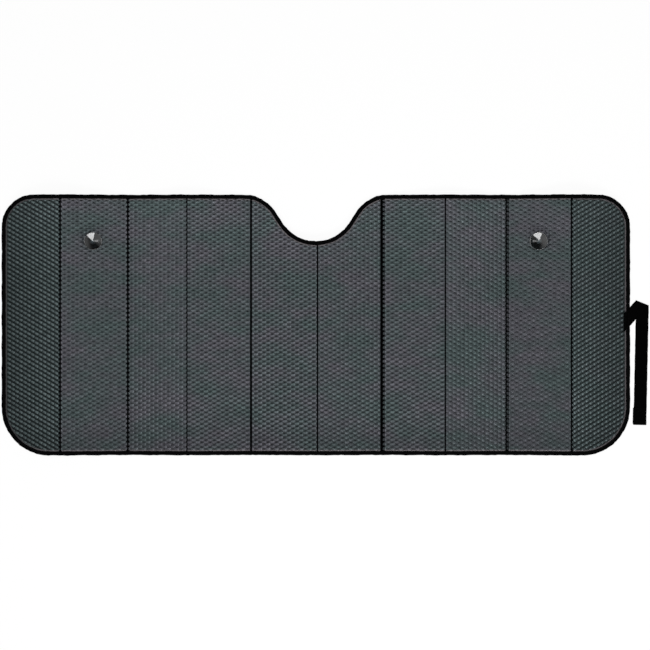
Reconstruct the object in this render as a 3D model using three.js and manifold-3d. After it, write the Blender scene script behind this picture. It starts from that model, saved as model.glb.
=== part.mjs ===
// Folding windscreen sunshade, lying open with its glass side up.
// A sheet of bubble film has straight pressed folds and a tape bound round its edge.
// Two suction cups sit in punched holes, and a storage strap is sewn to the right edge.
// Millimetres: X runs along the width, Y up the sheet from its bottom edge, Z to the glass side.
// The origin is the middle of the bottom edge, halfway through the tape at the centre fold.
import * as THREE from 'three';
import { mergeVertices } from 'three/addons/utils/BufferGeometryUtils.js';
import Module from 'manifold-3d';

const wasm = await Module();
wasm.setup();

// Sheet outline
const height = 610;
const topCornerRadius = 75;
const bottomCornerRadius = 112;
const notchWidth = 329;
const notchDepth = 109;
const notchShoulderRadius = 80;
const notchBottomRadius = 92;

// Spans between folds, laid open, from the centre fold out to the free end
const centrePanelSpan = 154.5;
const innerPanelSpan = 147.5;
const middlePanelSpan = 142.5;
const cupPanelSpan = 156;
const endPanelSpan = 136;

// Height of each fold's film over the resting folds, from the centre fold out to the free end
const innerFoldRise = 14;
const outerFoldRise = 24;
const freeEndRise = 0.1;

// Film
const bubbleThickness = 4;
const pressedThickness = 1.2;
const foldLand = 5;
const pressedMargin = 3;

// Edge tape
const tapeWidth = 10;
const tapeCloth = 1.1;

// Suction cups
const cupDiameter = 42;
const cupLip = 1.5;
const cupDishDepth = 9.5;
const cupFloor = 3;
const cupEdgeThickness = 1;
const cupHubDiameter = 13;
const cupNeckDiameter = 8;
const cupHeadDiameter = 14;
const cupHeadThickness = 3.6;
const cupFromTop = 109;
const cupHoleClearance = 0.5;

// Storage strap
const strapWidth = 30;
const strapThickness = 1.4;
const strapSewnLength = 13;
const strapFoldReach = 28;
const strapFoldHeight = 355.5;
const strapTailLength = 285;
const strapHeading = THREE.MathUtils.degToRad(47);
const strapTailHeading = THREE.MathUtils.degToRad(-91.2);
const strapBendRadius = 1.1;
const hookTabWidth = 32;
const hookTabLength = 40;
const hookTabThickness = 1.5;

// Clearance between pieces that touch in the real object
const gap = 0.3;

// Facets
const arcStep = THREE.MathUtils.degToRad(7.5);
const cupSegments = 48;
const bendSteps = 8;

// What follows from the sizes above
const panelSpans = [centrePanelSpan, innerPanelSpan, middlePanelSpan, cupPanelSpan, endPanelSpan];
const foldRises = [innerFoldRise, 0, innerFoldRise, 0, outerFoldRise, freeEndRise];
const halfWidth = panelSpans.reduce((sum, span) => sum + span, 0);
const restLevel = -innerFoldRise;
const tapeThickness = pressedThickness + 2 * (gap + tapeCloth);
const floorLevel = restLevel - tapeThickness / 2;
const filmInset = tapeCloth + gap;
const bubbleInset = tapeWidth + pressedMargin;

const black = (roughness) => new THREE.MeshStandardMaterial({ color: 0x0b0b0c, roughness, metalness: 0 });
const filmFinish = new THREE.MeshStandardMaterial({ color: 0x464b4e, roughness: 0.35, metalness: 0.7 });
const clearFinish = new THREE.MeshStandardMaterial({
  color: 0xd6dadb,
  roughness: 0.12,
  metalness: 0,
  transparent: true,
  opacity: 0.5,
});

function solidOf(geometry) {
  const bare = geometry.clone();
  bare.deleteAttribute('normal');
  bare.deleteAttribute('uv');
  const merged = mergeVertices(bare, 1e-4);
  return new wasm.Manifold(new wasm.Mesh({
    numProp: 3,
    vertProperties: new Float32Array(merged.attributes.position.array),
    triVerts: new Uint32Array(merged.index.array),
  }));
}

function geometryOf(solid) {
  const mesh = solid.getMesh();
  const geometry = new THREE.BufferGeometry();
  geometry.setAttribute('position', new THREE.BufferAttribute(new Float32Array(mesh.vertProperties), 3));
  geometry.setIndex(new THREE.BufferAttribute(new Uint32Array(mesh.triVerts), 1));
  return geometry;
}

function named(name, geometry, material) {
  geometry.computeVertexNormals();
  const mesh = new THREE.Mesh(geometry, material);
  mesh.name = name;
  return mesh;
}

// Middle of the film in the XZ plane: a flat land at each fold, straight panels between them
function middleLine() {
  const half = [];
  let fold = 0;
  panelSpans.forEach((span, index) => {
    const next = fold + span;
    const stop = index < panelSpans.length - 1 ? next - foldLand / 2 : next;
    half.push(new THREE.Vector2(fold + foldLand / 2, restLevel + foldRises[index]));
    half.push(new THREE.Vector2(stop, restLevel + foldRises[index + 1]));
    fold = next;
  });
  const mirrored = half.map(({ x, y }) => new THREE.Vector2(-x, y)).reverse();
  return [...mirrored, ...half];
}

function normalBetween(from, to) {
  const along = to.clone().sub(from).normalize();
  return new THREE.Vector2(-along.y, along.x);
}

// The line moved sideways by a distance, with mitred corners
function offsetLine(line, distance) {
  return line.map((point, index) => {
    const before = index > 0 ? normalBetween(line[index - 1], point) : null;
    const after = index < line.length - 1 ? normalBetween(point, line[index + 1]) : null;
    const first = before ?? after;
    const mitre = first.clone().add(after ?? before).normalize();
    return point.clone().addScaledVector(mitre, distance / mitre.dot(first));
  });
}

// Closed XZ profile drawn up the whole height of the sheet, with some to spare
function drawnUpSheet(profile) {
  const spare = height / 10;
  const geometry = new THREE.ExtrudeGeometry(new THREE.Shape(profile), {
    depth: height + 2 * spare,
    bevelEnabled: false,
  });
  geometry.rotateX(Math.PI / 2);
  geometry.translate(0, height + spare, 0);
  return solidOf(geometry);
}

// Folded ribbon of one thickness, wider than the sheet at both ends
function foldedRibbon(thickness) {
  const line = middleLine();
  const reach = (inner, end) => end.clone().add(end.clone().sub(inner).setLength(foldLand));
  line.unshift(reach(line[1], line[0]));
  line.push(reach(line[line.length - 2], line[line.length - 1]));
  const top = offsetLine(line, thickness / 2);
  const bottom = offsetLine(line, -thickness / 2);
  return drawnUpSheet([...bottom, ...top.reverse()]);
}

// Points on an arc from one angle to another
function arc(centreX, centreY, radius, from, to) {
  const steps = Math.max(2, Math.ceil(Math.abs(to - from) / arcStep));
  return Array.from({ length: steps + 1 }, (_, step) => {
    const angle = from + (to - from) * step / steps;
    return new THREE.Vector2(centreX + radius * Math.cos(angle), centreY + radius * Math.sin(angle));
  });
}

// Notch arcs, which a straight flank joins: both shrink together where the notch is too small for them
function notchArcs() {
  const across = notchWidth / 2;
  const wanted = notchShoulderRadius + notchBottomRadius;
  const share = Math.min(1, (across ** 2 + notchDepth ** 2) / (2 * notchDepth * wanted));
  const reach = share * wanted;
  const drop = notchDepth - reach;
  const flank = Math.sqrt(Math.max(0, across ** 2 + drop ** 2 - reach ** 2));
  return {
    shoulder: share * notchShoulderRadius,
    bottom: share * notchBottomRadius,
    slope: Math.atan2(drop, across) + Math.atan2(reach, flank),
  };
}

// Sheet outline moved inwards by a distance, seen from the glass side
function outline(inset) {
  const quarter = Math.PI / 2;
  const top = topCornerRadius;
  const bottom = bottomCornerRadius;
  const notch = notchArcs();
  const shoulderY = height - notch.shoulder;
  const notchY = height - notchDepth + notch.bottom;
  const shoulder = notch.shoulder - inset;
  return [
    ...arc(-halfWidth + bottom, bottom, bottom - inset, 2 * quarter, 3 * quarter),
    ...arc(halfWidth - bottom, bottom, bottom - inset, 3 * quarter, 4 * quarter),
    ...arc(halfWidth - top, height - top, top - inset, 0, quarter),
    ...arc(notchWidth / 2, shoulderY, shoulder, quarter, quarter + notch.slope),
    ...arc(0, notchY, notch.bottom + inset, notch.slope - quarter, -quarter - notch.slope),
    ...arc(-notchWidth / 2, shoulderY, shoulder, quarter - notch.slope, quarter),
    ...arc(-halfWidth + top, height - top, top - inset, quarter, 2 * quarter),
  ];
}

function outlinePrism(inset) {
  const spare = 2 * bubbleThickness;
  const low = floorLevel - spare;
  const high = restLevel + Math.max(innerFoldRise, outerFoldRise) + spare;
  const geometry = new THREE.ExtrudeGeometry(new THREE.Shape(outline(inset)), {
    depth: high - low,
    bevelEnabled: false,
  });
  geometry.translate(0, 0, low);
  return solidOf(geometry);
}

// Panels from left to right: the ends of each one's straight stretch
function panels() {
  const line = middleLine();
  const pairs = [];
  for (let index = 0; index < line.length; index += 2) {
    pairs.push([line[index], line[index + 1]]);
  }
  return pairs;
}

// The full-thickness bubble area of one panel
function bubblePanel([from, to]) {
  const across = normalBetween(from, to).multiplyScalar(bubbleThickness / 2);
  return drawnUpSheet([
    from.clone().sub(across),
    to.clone().sub(across),
    to.clone().add(across),
    from.clone().add(across),
  ]);
}

// Place of a suction cup: the middle of the second panel from one end
function cupPlace(side) {
  const [from, to] = side < 0 ? panels()[1] : panels()[panels().length - 2];
  const normal = normalBetween(from, to);
  const middle = from.clone().add(to).multiplyScalar(0.5);
  return {
    position: new THREE.Vector3(middle.x, height - cupFromTop, middle.y),
    tilt: Math.atan2(normal.x, normal.y),
  };
}

function cupHole(side) {
  const { position, tilt } = cupPlace(side);
  const radius = cupNeckDiameter / 2 + cupHoleClearance;
  const geometry = new THREE.CylinderGeometry(radius, radius, 3 * bubbleThickness, cupSegments);
  geometry.rotateX(Math.PI / 2);
  geometry.rotateY(tilt);
  geometry.translate(position.x, position.y, position.z);
  return solidOf(geometry);
}

function bubbleSheet() {
  let bubbles = null;
  for (const panel of panels()) {
    const next = bubblePanel(panel);
    bubbles = bubbles ? bubbles.add(next) : next;
  }
  const film = foldedRibbon(pressedThickness).intersect(outlinePrism(filmInset));
  const sheet = film.add(bubbles.intersect(outlinePrism(bubbleInset)));
  return named(
    'bubble_sheet',
    geometryOf(sheet.subtract(cupHole(-1)).subtract(cupHole(1))),
    filmFinish,
  );
}

function edgeBinding() {
  const ring = outlinePrism(0).subtract(outlinePrism(tapeWidth));
  const tape = ring.intersect(foldedRibbon(tapeThickness));
  const filmRoom = outlinePrism(tapeCloth).intersect(foldedRibbon(pressedThickness + 2 * gap));
  return named('edge_binding', geometryOf(tape.subtract(filmRoom)), black(0.85));
}

// Half section of a cup about its own axis, from the head behind the film to the dish
function cupSection() {
  const face = bubbleThickness / 2 + gap;
  const rim = face + cupFloor + cupDishDepth;
  const radius = cupDiameter / 2;
  const hub = cupHubDiameter / 2;
  const slope = cupDishDepth / (radius - cupLip);
  return [
    [0, -face - cupHeadThickness],
    [cupHeadDiameter / 4, -face - cupHeadThickness],
    [cupHeadDiameter / 2, -face - cupHeadThickness / 2],
    [cupHeadDiameter / 2, -face],
    [cupNeckDiameter / 2, -face],
    [cupNeckDiameter / 2, face],
    [hub, face],
    [hub, rim - cupEdgeThickness - slope * (radius - hub)],
    [radius, rim - cupEdgeThickness],
    [radius, rim],
    [radius - cupLip, rim],
    [0, face + cupFloor],
  ].map(([r, z]) => new THREE.Vector2(r, z));
}

function suctionCup(name, side) {
  const { position, tilt } = cupPlace(side);
  const geometry = new THREE.LatheGeometry(cupSection(), cupSegments);
  geometry.rotateX(Math.PI / 2);
  const cup = named(name, geometry, clearFinish);
  cup.position.copy(position);
  cup.rotation.y = tilt;
  return cup;
}

// Strap: a flat strip drawn in plan, then bent down off the edge and folded back under itself.
// s runs along the strip from the fold point, t across it.
const foldHeading = (strapHeading + strapTailHeading) / 2;
const foldPoint = new THREE.Vector2(halfWidth + strapFoldReach, strapFoldHeight);
const turned = (angle) => new THREE.Vector2(Math.cos(angle), Math.sin(angle));
const along = turned(strapHeading);
const acrossStrip = turned(strapHeading + Math.PI / 2);
const foldAxis = turned(foldHeading);
const overFold = turned(foldHeading + Math.PI / 2);
const bendLength = Math.PI * strapBendRadius;
const tailLevel = floorLevel + strapThickness / 2;
const legLevel = tailLevel + 2 * strapBendRadius;

const plan = (s, t) => foldPoint.clone().addScaledVector(along, s).addScaledVector(acrossStrip, t);
const rowAtX = (x) => (t) => (x - foldPoint.x - t * acrossStrip.x) / along.x;
const rowPastFold = (q) => (t) => (q - t * acrossStrip.dot(overFold)) / along.dot(overFold);
const rowAcross = (s) => () => s;

// Film slope of the free end panel, and the strap's height where it is sewn on
function sewnHeight(x) {
  const [from, to] = panels()[panels().length - 1];
  const slope = (to.y - from.y) / (to.x - from.x);
  const stack = tapeThickness / 2 + gap + strapThickness / 2;
  return from.y + slope * (x - from.x) + stack * Math.hypot(1, slope);
}

// A point of the strip's middle surface in space
function onStrap(s, t, levelX) {
  const flat = plan(s, t);
  const q = flat.clone().sub(foldPoint).dot(overFold);
  const a = flat.clone().sub(foldPoint).dot(foldAxis);
  const turn = Math.min(Math.max(q, 0), bendLength) / strapBendRadius;
  const past = Math.max(q - bendLength, 0);
  const reach = Math.min(q, 0) + strapBendRadius * Math.sin(turn) - past;
  const place = foldPoint.clone().addScaledVector(foldAxis, a).addScaledVector(overFold, reach);
  let z = legLevel - strapBendRadius * (1 - Math.cos(turn));
  if (q < 0 && place.x < levelX) {
    const edge = sewnHeight(halfWidth);
    const share = (levelX - place.x) / (levelX - halfWidth);
    z = place.x < halfWidth ? sewnHeight(place.x) : legLevel + (edge - legLevel) * share;
  }
  return new THREE.Vector3(place.x, place.y, z);
}

function strapRows(levelX) {
  const rows = [rowAtX(halfWidth - strapSewnLength), rowAtX(halfWidth), rowAtX(levelX)];
  for (let step = 0; step <= bendSteps; step += 1) {
    rows.push(rowPastFold(bendLength * step / bendSteps));
  }
  rows.push(rowAcross(bendLength + strapWidth));
  rows.push(rowAcross(bendLength + strapTailLength));
  return rows;
}

function storageStrap() {
  const half = strapWidth / 2;
  const foldLeft = plan(rowPastFold(0)(half), half);
  const levelX = (halfWidth + foldLeft.x) / 2;
  const rows = strapRows(levelX);
  const middle = rows.map((row) => [-half, half].map((t) => onStrap(row(t), t, levelX)));
  const facetNormal = (index) => {
    const [right, left] = middle[index];
    const onward = middle[index + 1][1].clone().sub(left);
    return onward.cross(left.clone().sub(right)).normalize();
  };
  const normals = middle.map((_, index) => {
    const before = facetNormal(Math.max(index - 1, 0));
    const after = facetNormal(Math.min(index, middle.length - 2));
    const mean = before.clone().add(after).normalize();
    return mean.divideScalar(mean.dot(after));
  });
  const last = rows.length - 1;
  const geometry = new THREE.BoxGeometry(last, strapWidth, strapThickness, last, 1, 1);
  const position = geometry.attributes.position;
  const point = new THREE.Vector3();
  for (let index = 0; index < position.count; index += 1) {
    point.fromBufferAttribute(position, index);
    const row = Math.round(point.x + last / 2);
    const middlePoint = middle[row][point.y < 0 ? 0 : 1];
    const place = middlePoint.clone().addScaledVector(normals[row], point.z);
    position.setXYZ(index, place.x, place.y, place.z);
  }
  return named('storage_strap', geometry, black(0.8));
}

function hookTab() {
  const tail = turned(strapTailHeading);
  const middle = foldPoint.clone().addScaledVector(tail, strapTailLength - hookTabLength / 2);
  const geometry = new THREE.BoxGeometry(hookTabLength, hookTabWidth, hookTabThickness);
  const tab = named('hook_tab', geometry, black(0.95));
  const lift = floorLevel + strapThickness + gap + hookTabThickness / 2;
  tab.position.set(middle.x, middle.y, lift);
  tab.rotation.z = strapTailHeading;
  return tab;
}

const sunshade = new THREE.Group();
sunshade.add(bubbleSheet());
sunshade.add(edgeBinding());
sunshade.add(suctionCup('suction_cup_left', -1));
sunshade.add(suctionCup('suction_cup_right', 1));
sunshade.add(storageStrap());
sunshade.add(hookTab());

export default sunshade;
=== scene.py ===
import bpy
import math
import numpy as np
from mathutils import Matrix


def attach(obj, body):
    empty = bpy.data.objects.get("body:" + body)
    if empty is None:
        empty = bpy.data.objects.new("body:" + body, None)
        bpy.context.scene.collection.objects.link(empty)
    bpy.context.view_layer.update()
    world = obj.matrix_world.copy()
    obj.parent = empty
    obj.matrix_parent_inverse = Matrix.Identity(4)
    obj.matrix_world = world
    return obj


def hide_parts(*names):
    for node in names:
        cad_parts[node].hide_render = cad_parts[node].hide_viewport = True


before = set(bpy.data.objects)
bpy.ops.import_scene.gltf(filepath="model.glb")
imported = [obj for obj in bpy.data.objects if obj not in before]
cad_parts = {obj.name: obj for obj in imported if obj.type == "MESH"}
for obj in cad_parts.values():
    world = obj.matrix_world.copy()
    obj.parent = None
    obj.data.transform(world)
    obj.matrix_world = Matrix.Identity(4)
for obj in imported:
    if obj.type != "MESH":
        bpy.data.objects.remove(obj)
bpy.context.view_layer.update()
print("cad model loaded")

rng = np.random.default_rng(7)

# shape of the sheet, in metres: x across, y up from the bottom edge, z out of the glass side
sheet = {
    "height": 0.610,
    "topCorner": 0.075,
    "bottomCorner": 0.112,
    "notchHalf": 0.1645,  # centre of the shoulder arcs
    "notchDepth": 0.109,
    "shoulder": 0.080,
    "notchArc": 0.092,
    "flankSlope": math.radians(56.58),
    "halfWidth": 0.7365,
    "folds": (-0.5970, -0.4408, -0.3018, -0.1519, 0.0032, 0.1555, 0.3033, 0.4482, 0.5975),  # a little uneven
    "heights": (-0.0139, 0.010, -0.014, 0, -0.014, 0, -0.014, 0, -0.014, 0.010, -0.0139),  # free ends too
    "land": 0.005,  # pressed strip at each fold
    "floor": -0.016,
    "roundSteps": (14, 18, 10, 10),  # top corners, bottom corners, shoulders, notch
    "notchArcAt": (0.0769, 0.45, 0.5435),  # the notch's bottom arc: within this x, between these heights
    "shoulderAt": (0.1406, 0.1646, 0.5735),  # the shoulder arcs: between these x, over this height
}
halfWidth = sheet["halfWidth"]


def pickOnly(piece):
    bpy.ops.object.select_all(action="DESELECT")
    piece.select_set(True)
    bpy.context.view_layer.objects.active = piece


def backToObject():
    bpy.ops.object.mode_set(mode="OBJECT")


def editMarked(piece, marks):
    # edit mode with only the marked points picked
    pickOnly(piece)
    bpy.ops.object.mode_set(mode="EDIT")
    bpy.ops.mesh.select_mode(type="VERT")
    bpy.ops.mesh.select_all(action="DESELECT")
    backToObject()
    piece.data.vertices.foreach_set("select", marks)
    bpy.ops.object.mode_set(mode="EDIT")


def editPick(piece, test):
    # edit mode with only the points picked that the test accepts
    editMarked(piece, np.array([bool(test(point.co)) for point in piece.data.vertices]))


def editFaces(piece):
    # edit mode with every face picked
    pickOnly(piece)
    bpy.ops.object.mode_set(mode="EDIT")
    bpy.ops.mesh.select_mode(type="FACE")
    bpy.ops.mesh.select_all(action="SELECT")


def newest(name):
    piece = bpy.context.object
    piece.name = name
    piece.data.name = name
    return piece


def placeObject(name, data):
    piece = bpy.data.objects.new(name, data)
    bpy.context.collection.objects.link(piece)
    return piece


def settle(piece):
    pickOnly(piece)
    bpy.ops.object.transform_apply(location=True, rotation=True, scale=True)


def addModifier(piece, kind, **settings):
    pickOnly(piece)
    modifier = piece.modifiers.new(kind.title(), kind)
    for key, value in settings.items():
        setattr(modifier, key, value)
    bpy.ops.object.modifier_apply(modifier=modifier.name)


def repeatPiece(piece, count, step):
    # copies in a row, each one step from the last
    addModifier(
        piece, "ARRAY", count=count,
        use_relative_offset=False, use_constant_offset=True, constant_offset_displace=step,
    )


def points(piece):
    flat = np.empty(len(piece.data.vertices) * 3)
    piece.data.vertices.foreach_get("co", flat)
    return flat.reshape(-1, 3)


def movePoints(piece, places):
    piece.data.vertices.foreach_set("co", np.ascontiguousarray(places, dtype=np.float32).ravel())
    piece.data.update()


def keepPoints(piece, keep):
    editMarked(piece, ~keep)
    bpy.ops.mesh.delete(type="VERT")
    backToObject()


def roundEdges(piece, width):
    addModifier(piece, "BEVEL", width=width, segments=2, limit_method="ANGLE", angle_limit=math.radians(60))


def turnOver(piece):
    # the piece moves to the other side of the flat sheet
    places = points(piece)
    places[:, 2] *= -1
    movePoints(piece, places)
    editFaces(piece)
    bpy.ops.mesh.flip_normals()
    backToObject()


def cutAt(piece, planes, across):
    # straight cuts through the whole piece
    editFaces(piece)
    for place in planes:
        bpy.ops.mesh.select_all(action="SELECT")
        at = (place * across[0], place * across[1], 0)
        bpy.ops.mesh.bisect(plane_co=at, plane_no=(across[0], across[1], 0))
    backToObject()


def smooth(edge0, edge1, value):
    share = np.clip((value - edge0) / (edge1 - edge0), 0, 1)
    return share * share * (3 - 2 * share)


def ripple(along, size, lengths, seed):
    # soft repeatable unevenness along an edge, about this size each way
    phases = np.random.default_rng(seed).uniform(0, 2 * math.pi, len(lengths))
    waves = [np.sin(2 * math.pi * along / length + phase) for length, phase in zip(lengths, phases)]
    return size * sum(waves) / math.sqrt(len(lengths))


def unit(rows):
    return rows / np.linalg.norm(rows, axis=1)[:, None]


# the folded middle line: a flat land at each fold and straight panels between
def middleLine():
    half, heights = sheet["land"] / 2, sheet["heights"]
    line = [(-halfWidth, heights[0])]
    for fold, high in zip(sheet["folds"], heights[1:]):
        line += [(fold - half, high), (fold + half, high)]
    line = np.array(line + [(halfWidth, heights[-1])])
    steps = unit(np.diff(line, axis=0))
    normals = np.stack([-steps[:, 1], steps[:, 0]], axis=1)
    before = np.vstack([normals[:1], normals])
    mitres = unit(before + np.vstack([normals, normals[-1:]]))
    mitres /= np.sum(mitres * before, axis=1)[:, None]
    return line, mitres


foldLine, foldMitres = middleLine()


def foldSheet(piece):
    # a piece laid out flat on the open sheet follows its folds
    places = points(piece)
    x, up = places[:, 0].copy(), places[:, 2].copy()
    places[:, 0] = x + up * np.interp(x, foldLine[:, 0], foldMitres[:, 0])
    places[:, 2] = np.interp(x, foldLine[:, 0], foldLine[:, 1])
    places[:, 2] += up * np.interp(x, foldLine[:, 0], foldMitres[:, 1])
    places[:, 2] = np.maximum(places[:, 2], sheet["floor"])
    movePoints(piece, places)


def roundCorners(reach, steps):
    bpy.ops.mesh.bevel(offset_type="OFFSET", offset=reach, segments=steps, profile=0.5, affect="VERTICES")


# one face with the sheet's outline, drawn as a plane with its notch pulled in and corners rounded
def outlineFace(name):
    high, deep, slope = sheet["height"], sheet["notchDepth"], sheet["flankSlope"]
    bpy.ops.mesh.primitive_plane_add(size=1, location=(0, high / 2, 0))
    piece = newest(name)
    piece.scale = (2 * halfWidth, high, 1)
    settle(piece)
    editPick(piece, lambda co: co.y > high - 1e-4)
    bpy.ops.mesh.subdivide(number_cuts=4)
    backToObject()
    topReach = sheet["shoulder"] * math.tan(slope / 2)
    lowReach = sheet["notchArc"] * math.tan(slope / 2)
    top = sheet["notchHalf"] - topReach
    inner = [v for v in piece.data.vertices if v.co.y > high - 1e-4 and abs(v.co.x) < halfWidth - 1e-3]
    corners = [(-top, high), (-lowReach, high - deep), (lowReach, high - deep), (top, high)]
    for point, (x, y) in zip(sorted(inner, key=lambda v: v.co.x), corners):
        point.co.x, point.co.y = x, y
    rounds = [
        (lambda co: co.y > high - 1e-4 and abs(co.x) > halfWidth - 1e-4, sheet["topCorner"]),
        (lambda co: co.y < 1e-4 and abs(co.x) > halfWidth - 1e-4, sheet["bottomCorner"]),
        (lambda co: co.y > high - 1e-4 and abs(abs(co.x) - top) < 1e-4, topReach),
        (lambda co: abs(co.y - high + deep) < 1e-4 and abs(co.x) < 0.06, lowReach - 1e-5),
    ]
    for (test, reach), steps in zip(rounds, sheet["roundSteps"]):
        editPick(piece, test)
        roundCorners(reach, steps)
        backToObject()
    # the notch turns less than a right angle, so its arcs are brought onto true circles
    notchY, shoulderY = high - deep + sheet["notchArc"], high - sheet["shoulder"]
    arcReach, arcFrom, arcTo = sheet["notchArcAt"]
    sideFrom, sideTo, sideOver = sheet["shoulderAt"]
    for point in piece.data.vertices:
        side = math.copysign(sheet["notchHalf"], point.co.x)
        if abs(point.co.x) < arcReach and arcFrom < point.co.y < arcTo:
            centre, radius = (0, notchY), sheet["notchArc"]
        elif sideFrom < abs(point.co.x) < sideTo and point.co.y > sideOver:
            centre, radius = (side, shoulderY), sheet["shoulder"]
        else:
            continue
        dx, dy = point.co.x - centre[0], point.co.y - centre[1]
        share = radius / math.hypot(dx, dy)
        point.co.x, point.co.y = centre[0] + dx * share, centre[1] + dy * share
    editFaces(piece)
    bpy.ops.mesh.remove_doubles(threshold=1e-4)
    backToObject()
    return piece


def shrinkFace(piece, inset):
    # the whole outline moved inwards, its outer ring thrown away
    editFaces(piece)
    bpy.ops.mesh.inset(thickness=inset, use_even_offset=True)
    bpy.ops.mesh.select_all(action="INVERT")
    bpy.ops.mesh.delete(type="FACE")
    backToObject()


edgeLoop = outlineFace("edgeGuide")
loopPoints = np.array([edgeLoop.data.vertices[i].co[:2] for i in edgeLoop.data.polygons[0].vertices])
bpy.data.objects.remove(edgeLoop)
loopSteps = np.roll(loopPoints, -1, axis=0) - loopPoints
loopLengths = np.linalg.norm(loopSteps, axis=1)
loopStarts = np.concatenate([[0], np.cumsum(loopLengths)[:-1]])
loopTotal = float(loopLengths.sum())


def loopPlace(x, y):
    # for each point: how far along the edge it lies, how far inside it, and the way out
    best = np.full(len(x), np.inf)
    along, inside, outX, outY = np.zeros((4, len(x)))
    for start, step, length, begin in zip(loopPoints, loopSteps, loopLengths, loopStarts):
        ux, uy = step / length
        dx, dy = x - start[0], y - start[1]
        run = np.clip(dx * ux + dy * uy, 0, length)
        gap = np.hypot(dx - run * ux, dy - run * uy)
        side = ux * dy - uy * dx
        closer = gap < best - 1e-9
        best = np.where(closer, gap, best)
        along = np.where(closer, begin + run, along)
        outX, outY = np.where(closer, uy, outX), np.where(closer, -ux, outY)
        inside = np.where(closer, np.where(side >= 0, gap, -gap), inside)
    return along, inside, outX, outY


print("outline drawn, edge", round(loopTotal, 3), "m")

cloths = {
    "fibreScale": 2600.0,
    "fibreShade": 0.9,
    "weaveShade": 0.45,
    "low": 0.55,  # painted shade between the threads and light on them, as shares of the cloth's colour
    "high": 1.6,
    "bump": 0.7,
    "dustScale": 260.0,
    "dusty": 0.06,
    "dustColour": (0.22, 0.22, 0.22, 1),
    "specular": 0.009,
    # colour, thread width, fuzz, roughness and depth
    "tape": ((0.0012, 0.0012, 0.0013), 0.0009, 0.5, 0.95, 0.0002),
    "webbing": ((0.0006, 0.0006, 0.0006), 0.0011, 1.0, 0.95, 0.00025),
    "hook": ((0.0007, 0.0007, 0.0007), 0.0012, 0.5, 0.9, 0.0002),
}
dust = {
    "cloudScale": 5.0,
    "spots": (0.6, 0.75),
}


def newGroup(name, inputs, outputs):
    group = bpy.data.node_groups.new(name, "ShaderNodeTree")
    for label, kind, value in inputs:
        socket = group.interface.new_socket(name=label, in_out="INPUT", socket_type="NodeSocket" + kind)
        if value is not None:
            socket.default_value = value
    for label in outputs:
        group.interface.new_socket(name=label, in_out="OUTPUT", socket_type="NodeSocketFloat")
    return group, group.nodes.new("NodeGroupInput"), group.nodes.new("NodeGroupOutput")


def addNode(tree, kind, links=(), **settings):
    node = tree.nodes.new(kind)
    for key, value in settings.items():
        setattr(node, key, value)
    for socket, source in dict(links).items():
        target = node.inputs[socket]
        if isinstance(source, bpy.types.NodeSocket):
            tree.links.new(source, target)
        else:
            target.default_value = source
    return node


def calc(tree, operation, *values):
    return addNode(tree, "ShaderNodeMath", enumerate(values), operation=operation).outputs[0]


def blendColour(tree, share, first, second):
    return addNode(tree, "ShaderNodeMix", {0: share, 6: first, 7: second}, data_type="RGBA").outputs[2]


def addNoise(tree, vector, scale, detail, roughness=0.5):
    links = {"Vector": vector, "Scale": scale, "Detail": detail, "Roughness": roughness}
    return addNode(tree, "ShaderNodeTexNoise", links).outputs["Fac"]


def addRange(tree, value, given=(0.0, 1.0), wanted=(0.0, 1.0)):
    ends = {"From Min": given[0], "From Max": given[1], "To Min": wanted[0], "To Max": wanted[1]}
    return addNode(tree, "ShaderNodeMapRange", {"Value": value, **ends})


def addBump(tree, shader, height, strength, depth):
    bump = addNode(tree, "ShaderNodeBump", {"Height": height, "Strength": strength, "Distance": depth})
    tree.links.new(bump.outputs[0], shader.inputs["Normal"])


def clothWeave():
    # plain weave: rounded threads that pass over and under each other
    group, given, out = newGroup(
        "clothWeave",
        [("Vector", "Vector", None), ("Thread", "Float", 0.0006), ("Fuzz", "Float", 0.3)],
        ["Height", "Shade"],
    )
    split = addNode(group, "ShaderNodeSeparateXYZ", {0: given.outputs["Vector"]})
    across = calc(group, "DIVIDE", split.outputs[0], given.outputs["Thread"])
    up = calc(group, "DIVIDE", split.outputs[1], given.outputs["Thread"])
    waves = [calc(group, "SINE", calc(group, "MULTIPLY", way, math.pi)) for way in (across, up)]
    ridgeA, ridgeB = [calc(group, "ABSOLUTE", wave) for wave in waves]
    odd = calc(group, "ADD", calc(group, "FLOOR", across), calc(group, "FLOOR", up))
    turn = calc(group, "ABSOLUTE", calc(group, "MODULO", odd, 2.0))
    weave = addNode(group, "ShaderNodeMix", {0: turn, 2: ridgeA, 3: ridgeB}, data_type="FLOAT").outputs[0]
    fibres = addNoise(group, given.outputs["Vector"], cloths["fibreScale"], 3.0)
    fuzz = calc(group, "MULTIPLY", fibres, given.outputs["Fuzz"])
    group.links.new(calc(group, "ADD", weave, fuzz), out.inputs["Height"])
    # the weave's shade is painted shade between the threads, with random tone from the fibres
    loose = calc(group, "MULTIPLY", fibres, cloths["fibreShade"])
    group.links.new(calc(group, "MULTIPLY_ADD", weave, cloths["weaveShade"], loose), out.inputs["Shade"])
    return group


def dustAndLint():
    # a little pale lint and dust, in spots
    group, given, out = newGroup(
        "dustAndLint",
        [("Vector", "Vector", None), ("Scale", "Float", 90.0)],
        ["Mask"],
    )
    spots = addNoise(group, given.outputs["Vector"], given.outputs["Scale"], 6.0, 0.7)
    cloud = addNoise(group, given.outputs["Vector"], dust["cloudScale"], 2.0)
    band = addRange(group, spots, dust["spots"]).outputs["Result"]
    group.links.new(calc(group, "MULTIPLY", band, cloud), out.inputs["Mask"])
    return group


weaveGroup = clothWeave()
dustGroup = dustAndLint()


def newMaterial(name):
    material = bpy.data.materials.new(name)
    material.use_nodes = True
    tree = material.node_tree
    return material, tree, tree.nodes["Principled BSDF"]


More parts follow.
